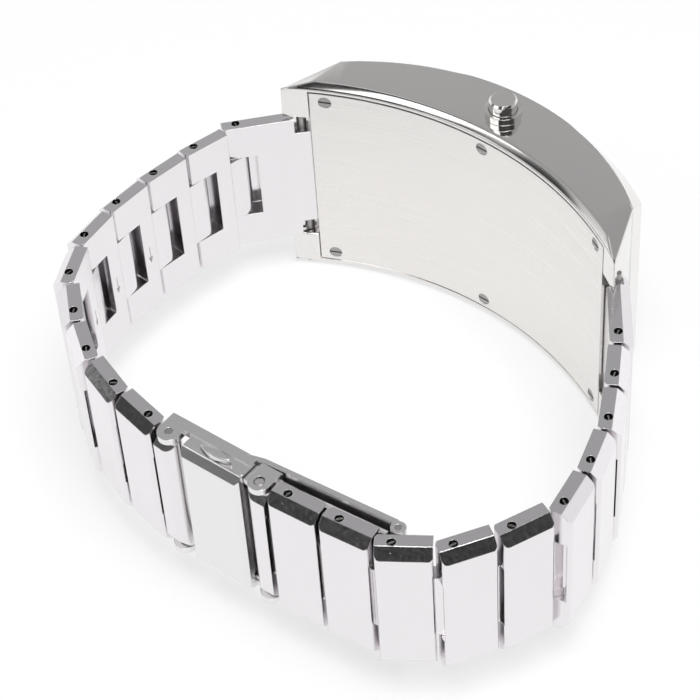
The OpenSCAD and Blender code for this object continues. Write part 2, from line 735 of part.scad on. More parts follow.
module clasp_base() {
  ear_z = bracelet_width / 2 - ear_thickness / 2;
  blade_low = knuckle + [-0.6, knuckle_radius - blade_thickness / 2];
  blade_high = [base_end - 0.2, base_top + base_thickness - blade_thickness / 2];
  blade_turn = [pins_span - ear_radius - 0.2, arm_top + blade_thickness + 0.15 + blade_thickness / 2];
  color("darkgray") on_clasp() difference() {
    union() {
      slab(bracelet_width) translate([ear_radius, base_top]) square([base_end - ear_radius, base_thickness]);
      for (side = [-1, 1]) {
        ear(side * ear_z);
        translate([ear_radius, rim_top, side * (bracelet_width / 2 - rim_width / 2) - rim_width / 2])
          cube([cover_end - ear_radius, base_top + base_thickness / 2 - rim_top, rim_width]);
        translate([0, 0, side * (middle_barrel / 2 + 0.1 + outer_barrel / 2)]) slab(outer_barrel) translate(knuckle) circle(knuckle_radius);
      }
      // the blade runs on under the links to the knuckle
      slab(blade_width) {
        strip(blade_high, blade_turn, blade_thickness);
        strip(blade_turn, blade_low, blade_thickness);
        translate(blade_turn) circle(blade_thickness / 2, $fn = 24);
      }
      // block between the two button springs
      translate([button_middle - 1.3, button_line - 0.9, -post_half_length])
        cube([2.6, base_top - button_line + 1, 2 * post_half_length]);
    }
    for (side = [-1, 1]) translate([0, 0, side * ear_z]) cylinder(h = 4, r = pin_radius + 0.02, center = true);
    slab(middle_barrel + 0.2) translate(knuckle - [knuckle_radius + 0.3, 3]) square([6, 6]);
    translate(knuckle) cylinder(h = 2 * bracelet_width, r = knuckle_pin_radius + 0.02, center = true);
  }
}

blade_width = bracelet_width - 0.4;
outer_barrel = blade_width / 2 - middle_barrel / 2 - 0.1;

module clasp_base_pin() {
  color("gray") on_clasp() cylinder(h = bracelet_width - 0.2, r = pin_radius, center = true);
}

module knuckle_pin() {
  color("gray") on_clasp() translate(knuckle) cylinder(h = blade_width - 0.2, r = knuckle_pin_radius, center = true);
}

module clasp_cover() {
  button_slot = button_height + 0.16;
  height = rim_top + cover_outer;
  bevel = 1.1;
  color("silver") on_clasp() difference() {
    translate([cover_start, 0, 0]) rotate([90, 0, 90]) linear_extrude(cover_length)
      polygon([
        [rim_top - 0.01, -cover_half_width], [rim_top - 0.01, cover_half_width],
        [bevel - cover_outer, cover_half_width], [-cover_outer, cover_half_width - bevel],
        [-cover_outer, bevel - cover_half_width], [bevel - cover_outer, -cover_half_width]
      ]);
    // rounded lips at both ends of the outer face
    for (end = [0, 1])
      translate([cover_start + end * cover_length, -cover_outer, 0]) rotate([0, 0, 45])
        cube([0.7, 0.7, 3 * cover_half_width], center = true);
    translate([cover_start + cover_wall, cover_wall - cover_outer, -cover_half_width + cover_wall])
      cube([cover_length - 2 * cover_wall, height, 2 * (cover_half_width - cover_wall)]);
    translate([button_middle, button_line, 0]) slab(3 * cover_half_width)
      button_shape(button_length + 0.16, button_slot);
    // windows for the buttons' fingers
    for (side = [0, 1]) mirror([0, 0, side])
      translate([cover_end - cover_wall - 0.1, button_line - 0.6, foot_outer - foot_thickness - button_travel - 0.12])
        cube([2, 1.2, finger_thickness + button_travel + 0.24]);
  }
}

// a lens: the overlap of two equal circles
module button_shape(length, height) {
  r = (pow(length / 2, 2) + pow(height / 2, 2)) / height;
  intersection() {
    translate([0, r - height / 2]) circle(r, $fn = 96);
    translate([0, height / 2 - r]) circle(r, $fn = 96);
  }
}

module clasp_button(side) {
  head = cover_half_width + button_travel - foot_outer + 0.05;
  foot_length = cover_length - 2 * cover_wall - 0.4;
  color("silver") on_clasp() mirror([0, 0, side]) translate([button_middle, button_line, 0]) {
    translate([0, 0, foot_outer - 0.1]) linear_extrude(head + 0.1) button_shape(button_length, button_height);
    translate([-foot_length / 2, -button_height / 2 - 0.15, foot_outer - foot_thickness])
      cube([foot_length, button_height + 0.3, foot_thickness]);
    // finger that stands beside the arm's catch while the clasp is closed
    translate([0, -0.45, foot_outer - foot_thickness])
      cube([cover_length / 2 + 0.6, 0.9, finger_thickness]);
  }
}

module clasp_spring(side) {
  room = foot_outer - foot_thickness - post_half_length;
  color("gray") on_clasp() mirror([0, 0, side])
    translate([button_middle, button_line, post_half_length + 0.02]) coil(room - 0.04, 0.6, 0.17, 4);
}

module clasp_arm() {
  ear_z = bracelet_width / 2 - ear_thickness / 2;
  start = pins_span - ear_radius;
  arm_line = arm_top + blade_thickness / 2;
  near_knuckle = knuckle - [0.5, knuckle_radius - blade_thickness / 2];
  color("darkgray") on_clasp() difference() {
    union() {
      for (side = [-1, 1]) translate([pins_span, 0, side * ear_z]) slab(ear_thickness) {
        circle(ear_radius);
        translate([-ear_radius, 0]) square([2 * ear_radius, arm_top + blade_thickness]);
      }
      slab(bracelet_width) translate([start, arm_top]) square([2 * ear_radius, blade_thickness]);
      // catches beside the buttons' fingers
      for (side = [0, 1]) mirror([0, 0, side]) translate([cover_end + catch_gap, 0, catch_inner]) {
        translate([0, -0.4, 0]) cube([0.55, arm_top + 0.9, 0.8]);
        translate([0, arm_top, 0]) cube([start - cover_end + 0.3, 0.5, 0.8]);
      }
      slab(bracelet_width - 3) {
        strip([pins_span, arm_line], [pins_span + 4, arm_line], blade_thickness);
        strip([pins_span + 4, arm_line], near_knuckle, blade_thickness);
        translate([pins_span + 4, arm_line]) circle(blade_thickness / 2, $fn = 24);
      }
      slab(middle_barrel - 0.1) translate(knuckle) circle(knuckle_radius);
    }
    // room for the outer barrels
    for (side = [-1, 1])
      translate([knuckle.x - knuckle_radius - 0.3, knuckle.y - 3, side > 0 ? middle_barrel / 2 - 0.05 : -20 - middle_barrel / 2 + 0.05])
        cube([6, 6, 20]);
    translate([pins_span, 0, 0]) cylinder(h = 2 * bracelet_width, r = pin_radius + open_pivot_play, center = true);
    translate(knuckle) cylinder(h = 2 * bracelet_width, r = knuckle_pin_radius + pin_play, center = true);
  }
}

case_middle();
bezel();
crystal();
crystal_gasket();
back_plate();
back_plate_screws();
back_gasket();
module_holder();
display_mask();
led_board();
led_array();
circuit_board();
driver_chip();
clock_crystal();
batteries();
battery_contacts();
push_switch();
lug_spring_bars();
pusher_tube();
pusher();
pusher_spring();
pusher_seal();
pusher_clip();
six_link(1);  // six_link_1
six_link(2);  // six_link_2
six_link(3);  // six_link_3
six_link(4);  // six_link_4
six_link(5);  // six_link_5
six_link(6);  // six_link_6
six_link(7);  // six_link_7
six_link(8);  // six_link_8
six_link(9);  // six_link_9
six_link(10);  // six_link_10
on_chain(0, six_bends, 11) half_link(false);  // six_half_link
twelve_link(1);  // twelve_link_1
twelve_link(2);  // twelve_link_2
twelve_link(3);  // twelve_link_3
twelve_link(4);  // twelve_link_4
twelve_link(5);  // twelve_link_5
twelve_link(6);  // twelve_link_6
twelve_link(7);  // twelve_link_7
twelve_link(8);  // twelve_link_8
twelve_link(9);  // twelve_link_9
twelve_link(10);  // twelve_link_10
on_chain(1, twelve_bends, 11) half_link(true);  // twelve_half_link
clasp_base();
clasp_base_pin();
clasp_cover();
clasp_arm();
knuckle_pin();
clasp_button(0);  // clasp_button_top
clasp_button(1);  // clasp_button_bottom
clasp_spring(0);  // clasp_spring_top
clasp_spring(1);  // clasp_spring_bottom
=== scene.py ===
import json
import math

import bmesh
import bpy
from mathutils import Matrix, Vector


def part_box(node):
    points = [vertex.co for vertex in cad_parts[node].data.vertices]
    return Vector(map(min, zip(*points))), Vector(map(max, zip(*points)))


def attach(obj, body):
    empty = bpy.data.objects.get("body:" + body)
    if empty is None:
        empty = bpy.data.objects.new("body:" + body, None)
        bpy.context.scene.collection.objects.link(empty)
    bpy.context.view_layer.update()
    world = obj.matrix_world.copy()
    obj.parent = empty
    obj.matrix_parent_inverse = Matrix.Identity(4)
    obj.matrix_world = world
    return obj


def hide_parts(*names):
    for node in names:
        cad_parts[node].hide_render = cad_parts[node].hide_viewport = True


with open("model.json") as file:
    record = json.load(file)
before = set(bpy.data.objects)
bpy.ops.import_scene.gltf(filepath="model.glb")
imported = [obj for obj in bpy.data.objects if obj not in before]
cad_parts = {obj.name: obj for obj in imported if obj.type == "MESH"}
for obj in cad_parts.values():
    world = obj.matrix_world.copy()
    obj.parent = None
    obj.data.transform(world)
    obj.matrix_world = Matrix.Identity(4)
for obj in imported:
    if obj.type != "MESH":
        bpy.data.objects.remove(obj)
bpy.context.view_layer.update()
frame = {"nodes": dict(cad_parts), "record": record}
record = frame["record"]
print("frame loaded")


# small helpers for objects and node trees

def added(name, data):
    piece = bpy.data.objects.new(name, data)
    bpy.context.collection.objects.link(piece)
    return piece


def feed(tree, socket, value):
    # a socket takes a plain value or another node's output
    if isinstance(value, bpy.types.NodeSocket):
        tree.links.new(value, socket)
    else:
        socket.default_value = value


def calc(tree, operation, first, second):
    node = tree.nodes.new("ShaderNodeMath")
    node.operation = operation
    feed(tree, node.inputs[0], first)
    feed(tree, node.inputs[1], second)
    return node.outputs[0]


def vector(tree, x, y, z):
    node = tree.nodes.new("ShaderNodeCombineXYZ")
    for socket, value in zip(node.inputs, (x, y, z)):
        feed(tree, socket, value)
    return node.outputs[0]


colorSockets = {"first": 6, "second": 7, "result": 2}  # where a Mix node keeps its colours


def mixColors(tree, share, first, second):
    node = tree.nodes.new("ShaderNodeMix")
    node.data_type = "RGBA"
    tree.links.new(share, node.inputs["Factor"])
    feed(tree, node.inputs[colorSockets["first"]], first)
    feed(tree, node.inputs[colorSockets["second"]], second)
    return node.outputs[colorSockets["result"]]


# what the finishes are made of

noiseLook = {"detail": 3.0, "roughness": 0.6, "low": 0.3, "high": 0.7}
metalLook = {"stretch": (1, 1, 1), "bump": 0.0, "relief": 0.00005, "paintedShade": 0.0,
             "edge": 0.00012, "edgeSamples": 4}
plainLook = {"stretch": (1, 1, 1), "bump": 0.0, "relief": 0.00003}


def newMaterial(name):
    mat = bpy.data.materials.new(name)
    mat.use_nodes = True
    tree = mat.node_tree
    tree.nodes.clear()
    out = tree.nodes.new("ShaderNodeOutputMaterial")
    bsdf = tree.nodes.new("ShaderNodeBsdfPrincipled")
    tree.links.new(bsdf.outputs["BSDF"], out.inputs["Surface"])
    return mat, tree, bsdf


def stretchedNoise(tree, scale, stretch):
    # noise in the object's own space, drawn out along one axis for brushing
    coord = tree.nodes.new("ShaderNodeTexCoord")
    mapping = tree.nodes.new("ShaderNodeMapping")
    mapping.inputs["Scale"].default_value = stretch
    noise = tree.nodes.new("ShaderNodeTexNoise")
    noise.inputs["Scale"].default_value = scale
    noise.inputs["Detail"].default_value = noiseLook["detail"]
    noise.inputs["Roughness"].default_value = noiseLook["roughness"]
    tree.links.new(coord.outputs["Object"], mapping.inputs["Vector"])
    tree.links.new(mapping.outputs["Vector"], noise.inputs["Vector"])
    return noise.outputs["Fac"]


def remap(tree, source, low, high):
    # the middle range of the noise is spread from low to high
    node = tree.nodes.new("ShaderNodeMapRange")
    node.inputs["From Min"].default_value = noiseLook["low"]
    node.inputs["From Max"].default_value = noiseLook["high"]
    node.inputs["To Min"].default_value = low
    node.inputs["To Max"].default_value = high
    tree.links.new(source, node.inputs["Value"])
    return node.outputs["Result"]


def addGrain(tree, bsdf, look, normal=None):
    # the gloss follows the noise, and so does the relief where the look has a bump
    noise = stretchedNoise(tree, look["scale"], look["stretch"])
    gloss = remap(tree, noise, look["roughness"] - look["spread"], look["roughness"] + look["spread"])
    # the mean, for the export
    bsdf.inputs["Roughness"].default_value = look["roughness"]  # the mean, kept on the socket beneath the noise's link
    tree.links.new(gloss, bsdf.inputs["Roughness"])
    if look["bump"]:
        relief = tree.nodes.new("ShaderNodeBump")
        relief.inputs["Strength"].default_value = look["bump"]
        relief.inputs["Distance"].default_value = look["relief"]
        tree.links.new(noise, relief.inputs["Height"])
        if normal is not None:
            tree.links.new(normal, relief.inputs["Normal"])
        tree.links.new(relief.outputs["Normal"], bsdf.inputs["Normal"])


def metal(given):
    # edges look softened, and where the mesh's shade attribute is 1 the colour is darkened as painted shade
    look = {**metalLook, **given}
    mat, tree, bsdf = newMaterial(look["name"])
    color = (*look["color"], 1)
    bsdf.inputs["Base Color"].default_value = color
    bsdf.inputs["Metallic"].default_value = 1
    rounded = tree.nodes.new("ShaderNodeBevel")
    rounded.samples = look["edgeSamples"]
    rounded.inputs["Radius"].default_value = look["edge"]
    tree.links.new(rounded.outputs["Normal"], bsdf.inputs["Normal"])
    # painted shade: faces in the pin sinkings get a near-black colour in place of the steel's
    if look["paintedShade"]:
        shadeMask = tree.nodes.new("ShaderNodeAttribute")
        shadeMask.attribute_name = "paintedShade"
        shadeTone = (look["paintedShade"], look["paintedShade"], look["paintedShade"], 1)
        tree.links.new(mixColors(tree, shadeMask.outputs["Fac"], color, shadeTone), bsdf.inputs["Base Color"])
    addGrain(tree, bsdf, look, rounded.outputs["Normal"])
    return mat


def plain(given):
    # rubber, plastic, resin and glass
    look = {**plainLook, **given}
    mat, tree, bsdf = newMaterial(look["name"])
    bsdf.inputs["Base Color"].default_value = (*look["color"], 1)
    addGrain(tree, bsdf, look)
    return mat


finishLook = {
    "case_polish": {"make": metal, "name": "casePolish", "color": (0.80, 0.785, 0.77),
                    "roughness": 0.1, "spread": 0.025, "scale": 90, "bump": 0.02},
    "back_steel": {"make": metal, "name": "backSteel", "color": (0.84, 0.82, 0.80), "roughness": 0.32,
                   "spread": 0.07, "scale": 900, "stretch": (0.015, 0.015, 5), "bump": 0.1},
    # the links' 0.06 tone is painted shade for their pin sinkings
    "link_steel": {"make": metal, "name": "linkSteel", "color": (0.82, 0.80, 0.815), "paintedShade": 0.06,
                   "roughness": 0.16, "spread": 0.05, "scale": 700, "stretch": (3, 3, 0.05), "bump": 0.03},
    "clasp_steel": {"make": metal, "name": "claspSteel", "color": (0.82, 0.81, 0.81),
                    "roughness": 0.24, "spread": 0.03, "scale": 900, "stretch": (5, 5, 0.05), "bump": 0.02},
    "pin_steel": {"make": metal, "name": "pinSteel", "color": (0.40, 0.39, 0.38), "edge": 0.00002,
                  "roughness": 0.4, "spread": 0.05, "scale": 2500, "bump": 0.04},
    "seal_rubber": {"make": plain, "name": "sealRubber", "color": (0.02, 0.02, 0.02),
                    "roughness": 0.7, "spread": 0.08, "scale": 1500, "bump": 0.2},
    "holder_plastic": {"make": plain, "name": "holderPlastic", "color": (0.07, 0.07, 0.08),
                       "roughness": 0.6, "spread": 0.08, "scale": 2200, "bump": 0.2},
    "mask_plastic": {"make": plain, "name": "maskPlastic", "color": (0.01, 0.01, 0.01),
                     "roughness": 0.5, "spread": 0.08, "scale": 2200, "bump": 0.2},
    "board_resin": {"make": plain, "name": "boardResin", "color": (0.03, 0.20, 0.08),
                    "roughness": 0.35, "spread": 0.1, "scale": 900, "bump": 0.1},
    "diode_red": {"make": plain, "name": "diodeRed", "color": (0.60, 0.02, 0.01),
                  "roughness": 0.2, "spread": 0.05, "scale": 600},
    "chip_black": {"make": plain, "name": "chipBlack", "color": (0.02, 0.02, 0.02),
                   "roughness": 0.45, "spread": 0.08, "scale": 2200, "bump": 0.15},
    "cell_steel": {"make": metal, "name": "cellSteel", "color": (0.70, 0.70, 0.70),
                   "roughness": 0.25, "spread": 0.05, "scale": 500},
    "contact_brass": {"make": metal, "name": "contactBrass", "color": (0.70, 0.55, 0.25),
                      "roughness": 0.3, "spread": 0.06, "scale": 900},
    "dark_glass": {"make": plain, "name": "darkGlass", "color": (0.03, 0.012, 0.018),
                   "roughness": 0.05, "spread": 0.02, "scale": 45},
}
finishes = {slotName: look["make"](look) for slotName, look in finishLook.items()}

slotOf = {part["node"]: part["material_slot"] for part in record["subparts"]}
for node, slotName in slotOf.items():
    materials = frame["nodes"][node].data.materials
    materials.clear()
    materials.append(finishes[slotName])
print("materials set")


# where the bracelet's pins stand, and which way each link faces

linkCount = 10  # on each side, apart from the half link
bodyOf = {node: body for body, nodes in record["behaviour"]["bodies"].items() for node in nodes}
hingeAt = {j["child"]: Vector(j["pos_m"]) for j in record["behaviour"]["joints"] if j["type"] == "hinge"}
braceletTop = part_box("six_link_5")[1][2]


def chainOf(side):
    names = ["%s_link_%d" % (side, n + 1) for n in range(linkCount)] + [side + "_half_link"]
    rows = {}
    for name, after in zip(names, names[1:]):
        start, far = hingeAt[name], hingeAt[after]
        along = (far - start).normalized()
        inward = Vector((-along.y, along.x, 0))
        if side == "twelve":
            inward = -inward  # this side runs the other way round the loop
        rows[name] = {"start": start, "far": far, "along": along, "inward": inward}
    return rows


links = {**chainOf("six"), **chainOf("twelve")}

# the CAD's plain pin and hole give way to a sinking with a slotted end in it
pinLook = {
    "hole": 0.0009,  # radius in the CAD
    "shift": 0.0004,  # from the hinge's axis inward, on to the flat of the link's top
    "recess": 0.00062, "recessDepth": 0.0005, "recessSides": 40,
    "endRadius": 0.0005, "endHeight": 0.0004, "endSides": 36, "endTaper": 0.9, "sunk": 0.00005,
    "slot": 0.00018, "slotDepth": 0.00015, "slotReach": 3,
}


def pinMiddle(link):
    return link["far"] + link["inward"] * pinLook["shift"]


def islands(bm):
    # the mesh's loose parts, one set of corners at a time
    left = set(bm.verts)
    while left:
        found, front = set(), [left.pop()]
        while front:
            v = front.pop()
            found.add(v)
            for edge in v.link_edges:
                other = edge.other_vert(v)
                if other in left:
                    left.discard(other)
                    front.append(other)
        yield found


fillSlack = {
    "pin": 0.99,  # the pin's corners lie within this share of the hole's radius
    "hole": 8e-6,  # the hole's corners lie this near its radius
    "upright": 0.1,  # the normal of the hole's wall rises by less than this
    "tilted": 1e-5,  # a fill that rises by less than this is level
    "level": 4e-6,  # corners this near to a height lie on it
}


def splitAtLevel(bm, face, link):
    # a fill that runs over the bevel's edge is split along it
    heights = [v.co.z for v in face.verts]
    if max(heights) - min(heights) < fillSlack["tilted"]:
        return
    level = max(heights) if max(heights) > link["far"].z else min(heights)

    def leaves(v):
        beside = [e.other_vert(v) for e in v.link_edges if e in face.edges]
        return any(abs(other.co.z - level) > fillSlack["level"] for other in beside)

    ends = [v for v in face.verts if abs(v.co.z - level) < fillSlack["level"] and leaves(v)]
    if len(ends) == 2:
        bmesh.ops.connect_verts(bm, verts=ends)


def fillPinHole(bm, link):
    # the plain pin goes, and its hole is closed
    def fromAxis(v):
        return (v.co.xy - link["far"].xy).length

    for found in list(islands(bm)):
        if all(fromAxis(v) < pinLook["hole"] * fillSlack["pin"] for v in found):
            bmesh.ops.delete(bm, geom=list(found), context="VERTS")
    near = {v for v in bm.verts if abs(fromAxis(v) - pinLook["hole"]) < fillSlack["hole"]}
    walls = [f for f in bm.faces
             if abs(f.normal.z) < fillSlack["upright"] and all(v in near for v in f.verts)]
    bmesh.ops.delete(bm, geom=walls, context="FACES")
    rims = [e for e in bm.edges if len(e.link_faces) == 1]
    filled = bmesh.ops.holes_fill(bm, edges=rims, sides=0)["faces"]
    bm.normal_update()
    for face in filled:
        splitAtLevel(bm, face, link)


def pinRecess(link):
    # a cutter for the round sinkings at both ends of the pin
    mesh = bpy.data.meshes.new("cutter")
    bm = bmesh.new()
    middle = pinMiddle(link)
    for height in (braceletTop, 2 * middle.z - braceletTop):
        bmesh.ops.create_cone(bm, cap_ends=True, segments=pinLook["recessSides"], radius1=pinLook["recess"],
                              radius2=pinLook["recess"], depth=2 * pinLook["recessDepth"],
                              matrix=Matrix.Translation((middle.x, middle.y, height)))
    bm.to_mesh(mesh)
    bm.free()
    return added("cutter", mesh)


# edges that are rounded in the mesh itself, each kind on its own pieces

def sharpEdges(bm, look):
    return [e for e in bm.edges
            if len(e.link_faces) == 2 and e.is_convex and e.calc_face_angle(0) > look["sharp"]]


def roundOff(bm, edges, look, clamped=False):
    if edges:
        bmesh.ops.bevel(bm, geom=edges, offset=look["width"], segments=look["steps"], profile=0.5,
                        affect="EDGES", clamp_overlap=clamped)


gapEdge = {
    "sharp": math.radians(24), "shortest": 0.015,
    "upright": 0.99,  # it rises by this share of its length
    "outer": -0.0015,  # it lies this far outside the pin's axis
    "width": 0.00045, "steps": 4,
}


def roundGapEdges(bm, link):
    # the upright outer edges beside each gap
    def besideGap(edge):
        one, other = edge.verts
        length = edge.calc_length()
        upright = abs(one.co.z - other.co.z) >= gapEdge["upright"] * length
        outer = (one.co - link["far"]).dot(link["inward"]) < gapEdge["outer"]
        return length >= gapEdge["shortest"] and upright and outer

    roundOff(bm, [e for e in sharpEdges(bm, gapEdge) if besideGap(e)], gapEdge)


coverEdge = {
    "sharp": math.radians(24), "shortest": 0.004,
    "bevel": (0.3, 0.9), "top": 0.95,  # how much the normals of the faces beside it rise
    "width": 0.00028, "steps": 5,
}


def roundCoverEdges(bm):
    # the bright roll between the cover's top and its bevel
    def atBevel(edge):
        rises = [abs(f.normal.z) for f in edge.link_faces]
        least, most = coverEdge["bevel"]
        bevel = any(least < rise < most for rise in rises)
        top = any(rise > coverEdge["top"] for rise in rises)
        return edge.calc_length() > coverEdge["shortest"] and bevel and top

    roundOff(bm, [e for e in sharpEdges(bm, coverEdge) if atBevel(e)], coverEdge)


buttonEdge = {"sharp": math.radians(40), "top": 0.95, "width": 0.0003, "steps": 4}


def roundButtonEdges(bm):
    # the polished lens of a push button is domed at its rim
    rim = [e for e in sharpEdges(bm, buttonEdge)
           if any(abs(f.normal.z) > buttonEdge["top"] for f in e.link_faces)]
    roundOff(bm, rim, buttonEdge, clamped=True)


caseEdge = {"sharp": math.radians(28), "shortest": 0.0008, "front": -0.004, "width": 0.00026, "steps": 3}


def roundCaseEdges(bm):
    # the case's edges, apart from those that reach nearer to its front
    behind = [e for e in sharpEdges(bm, caseEdge)
              if e.calc_length() > caseEdge["shortest"] and min(v.co.y for v in e.verts) > caseEdge["front"]]
    roundOff(bm, behind, caseEdge)


def roundEdges(bm, node, link):
    if link:
        roundGapEdges(bm, link)
    if node == "case_middle":
        roundCaseEdges(bm)
    if node == "clasp_cover":
        roundCoverEdges(bm)
    if node.startswith("clasp_button"):
        roundButtonEdges(bm)


# each steel piece gets a copy with eased edges, in place of its CAD node

easing = {
    "slots": ("link_steel", "clasp_steel", "back_steel"),
    "merge": 2e-6,  # corners nearer than this are one
    "flat": math.radians(0.6),  # faces that meet at less are joined
    "sharp": math.radians(30),  # edges that meet at more stay sharp
}
# how the normal of a plane face lies: on a level one, a 45 degree bevel and a link's inner face
flatFace = {"level": 0.995, "bevel": math.sqrt(0.5), "bevelSlack": 0.01, "inner": 0.9995}
paintedShadeLook = {"spill": 1.01, "unshadedRim": 2e-5}  # for the painted shade: the share of the sinking's radius it covers, and an unshaded rim at its top


def settled(piece):
    # what the modifiers make becomes the plain mesh of the piece
    graph = bpy.context.evaluated_depsgraph_get()
    graph.update()
    made = bpy.data.meshes.new_from_object(piece.evaluated_get(graph), preserve_all_data_layers=True,
                                           depsgraph=graph)
    piece.modifiers.clear()
    made.name = piece.name
    piece.data = made


def flatCorners(mesh, link):
    # plane faces keep their own normal right into the corners, whatever rounding touches them
    normals = [Vector(c.vector) for c in mesh.corner_normals]
    for face in mesh.polygons:
        n = face.normal
        level = abs(n.z) > flatFace["level"]
        bevel = abs(abs(n.z) - flatFace["bevel"]) < flatFace["bevelSlack"]
        inner = link and abs(n.dot(link["inward"])) > flatFace["inner"]
        if level or bevel or inner:
            for corner in face.loop_indices:
                normals[corner] = n.copy()
    mesh.normals_split_custom_set(normals)


def markPaintedShade(mesh, link):
    # painted shade: the faces down in the sinkings at the pins are marked, for the material to darken them
    middle = pinMiddle(link)
    top = braceletTop - middle.z
    layer = mesh.attributes.new("paintedShade", "FLOAT", "FACE")
    for face in mesh.polygons:
        c = face.center
        near = (c.xy - middle.xy).length < pinLook["recess"] * paintedShadeLook["spill"]
        sunken = top - 2 * pinLook["recessDepth"] < abs(c.z - middle.z) < top - paintedShadeLook["unshadedRim"]
        layer.data[face.index].value = 1.0 if near and sunken else 0.0


def easedMesh(node, link):
    mesh = frame["nodes"][node].data.copy()
    mesh.name = node + "Eased"
    bm = bmesh.new()
    bm.from_mesh(mesh)
    bmesh.ops.remove_doubles(bm, verts=bm.verts, dist=easing["merge"])
    if link:
        fillPinHole(bm, link)
    bmesh.ops.dissolve_limit(bm, angle_limit=easing["flat"], verts=bm.verts, edges=bm.edges)
    roundEdges(bm, node, link)
    bmesh.ops.triangulate(bm, faces=[f for f in bm.faces if len(f.verts) > 4])
    for face in bm.faces:
        face.smooth = True
    bm.to_mesh(mesh)
    bm.free()
    mesh.attributes.remove(mesh.attributes["custom_normal"])  # the CAD's normals no longer fit the mesh
    mesh.materials.clear()
    mesh.materials.append(finishes[slotOf[node]])
    mesh.set_sharp_from_angle(angle=easing["sharp"])
    return mesh


def sinkPins(piece, link):
    cutter = pinRecess(link)
    cut = piece.modifiers.new("pin recess", "BOOLEAN")
    cut.operation = "DIFFERENCE"
    cut.solver = "EXACT"
    cut.object = cutter
    settled(piece)
    bpy.data.objects.remove(cutter)
    for face in piece.data.polygons:
        face.use_smooth = True
    piece.data.set_sharp_from_angle(angle=easing["sharp"])
    markPaintedShade(piece.data, link)


def eased(node):
    link = links.get(node)
    piece = added(node + "Eased", easedMesh(node, link))
    if link:
        sinkPins(piece, link)
    weigh = piece.modifiers.new("even shading", "WEIGHTED_NORMAL")
    weigh.mode = "FACE_AREA"
    weigh.weight = 100
    weigh.keep_sharp = True
    settled(piece)
    if node != "case_middle":
        flatCorners(piece.data, link)
    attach(piece, bodyOf[node])
    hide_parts(node)
    return piece


easedPieces = {}
for node, slotName in slotOf.items():
    if slotName in easing["slots"] or node == "case_middle":
        easedPieces[node] = eased(node)
print("edges eased on", len(easedPieces), "pieces")


# the slotted ends of the pins, two to a link, built by one node tree

def newPinTree():
    tree = bpy.data.node_groups.new("pinEnds", "GeometryNodeTree")
    face = tree.interface
    face.new_socket("Ends", in_out="INPUT", socket_type="NodeSocketGeometry")
    for name in ("Radius", "Height", "Slot", "Slot depth"):
        face.new_socket(name, in_out="INPUT", socket_type="NodeSocketFloat")
    face.new_socket("Seed", in_out="INPUT", socket_type="NodeSocketInt")
    face.new_socket("Finish", in_out="INPUT", socket_type="NodeSocketMaterial")
    face.new_socket("Pins", in_out="OUTPUT", socket_type="NodeSocketGeometry")
    add, join = tree.nodes.new, tree.links.new
    given, result = add("NodeGroupInput").outputs, add("NodeGroupOutput").inputs

    # a low cone frustum, so that the rim is broken, then the slot is cut out
    body = add("GeometryNodeMeshCone")
    body.inputs["Vertices"].default_value = pinLook["endSides"]
    join(given["Radius"], body.inputs["Radius Bottom"])
    join(calc(tree, "MULTIPLY", given["Radius"], pinLook["endTaper"]), body.inputs["Radius Top"])
    join(given["Height"], body.inputs["Depth"])
    bar = add("GeometryNodeMeshCube")
    reach = calc(tree, "MULTIPLY", given["Radius"], pinLook["slotReach"])
    depth = calc(tree, "MULTIPLY", given["Slot depth"], 2)  # half of the bar stands above the end
    join(vector(tree, reach, given["Slot"], depth), bar.inputs["Size"])
    lift = add("GeometryNodeTransform")
    join(bar.outputs["Mesh"], lift.inputs["Geometry"])
    join(vector(tree, 0, 0, given["Height"]), lift.inputs["Translation"])
    cut = add("GeometryNodeMeshBoolean")
    cut.operation = "DIFFERENCE"
    join(body.outputs["Mesh"], cut.inputs["Mesh 1"])
    join(lift.outputs["Geometry"], cut.inputs["Mesh 2"])

    # the second point is the lower end, which faces down, and each end is turned at random
    index = add("GeometryNodeInputIndex")
    flip = calc(tree, "MULTIPLY", index.outputs[0], math.pi)
    spin = add("FunctionNodeRandomValue")
    spin.data_type = "FLOAT"
    low, high = spin.inputs[2], spin.inputs[3]  # the range of a single number
    low.default_value = 0
    high.default_value = math.pi
    join(given["Seed"], spin.inputs["Seed"])
    placed = add("GeometryNodeInstanceOnPoints")
    join(given["Ends"], placed.inputs["Points"])
    join(cut.outputs["Mesh"], placed.inputs["Instance"])
    join(vector(tree, flip, 0, spin.outputs[1]), placed.inputs["Rotation"])
    real = add("GeometryNodeRealizeInstances")
    join(placed.outputs["Instances"], real.inputs["Geometry"])
    paint = add("GeometryNodeSetMaterial")
    join(real.outputs["Geometry"], paint.inputs["Geometry"])
    join(given["Finish"], paint.inputs["Material"])
    join(paint.outputs["Geometry"], result["Pins"])
    return tree


pinTree = newPinTree()
socketOf = {item.name: item.identifier for item in pinTree.interface.items_tree if item.in_out == "INPUT"}


def pinEnds(node, link, seed):
    middle = pinMiddle(link)
    base = braceletTop - pinLook["endHeight"] - pinLook["sunk"]
    mesh = bpy.data.meshes.new(node + "PinEnds")
    mesh.from_pydata([(middle.x, middle.y, base), (middle.x, middle.y, 2 * middle.z - base)], [], [])
    piece = added(node + "PinEnds", mesh)
    mod = piece.modifiers.new("pin ends", "NODES")
    mod.node_group = pinTree
    inputs = {"Radius": pinLook["endRadius"], "Height": pinLook["endHeight"], "Slot": pinLook["slot"],
              "Slot depth": pinLook["slotDepth"], "Seed": seed, "Finish": finishes["pin_steel"]}
    for name, value in inputs.items():
        mod[socketOf[name]] = value
    settled(piece)
    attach(piece, bodyOf[node])


for seed, (node, link) in enumerate(links.items()):
    pinEnds(node, link, seed)
print("pin ends made for", len(links), "links")


# small arrows on the inner faces of the links that come out when the bracelet is shortened;
# they run between two heights, along is measured from the link's own hinge

arrowLook = {"links": (4, 5, 6), "along": 0.0041, "from": 0.0188, "to": 0.0156, "stem": 0.00013,
             "head": 0.0012, "headWidth": 0.00085, "height": 0.000012}


